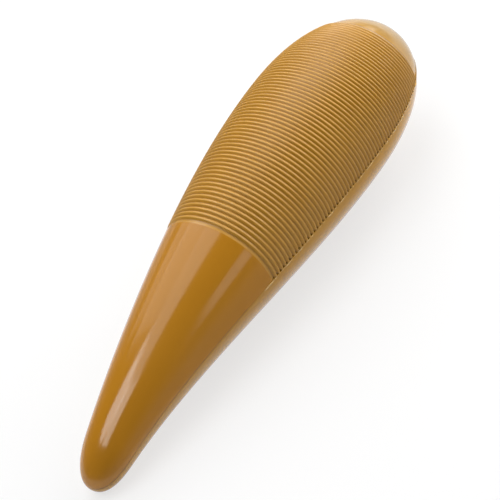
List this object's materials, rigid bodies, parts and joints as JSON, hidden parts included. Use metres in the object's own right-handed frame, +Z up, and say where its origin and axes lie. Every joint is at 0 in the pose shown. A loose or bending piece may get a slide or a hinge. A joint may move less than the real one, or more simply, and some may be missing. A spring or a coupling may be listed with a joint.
{
  "type": "guiro",
  "caption": "Hand-held pear-shaped guiro in glossy tan plastic: a hollow head with ring grooves across its front, a smooth crown and a smooth tapering handle.",
  "frame": {"origin": "middle of the footprint, at the height of the surface that the guiro lies on, with its smooth back down", "axes": "+X along the body from the handle towards the head, +Z up and out of the grooved front"},
  "size_m": [0.2814, 0.0758, 0.0747],
  "materials": {
    "front_plastic": "glossy tan plastic, moulded in one colour",
    "back_plastic": "glossy tan plastic, moulded in one colour"
  },
  "bodies": {
    "root": {"grooved_front_shell": "front_plastic", "smooth_back_shell": "back_plastic"}
  },
  "joints": []
}
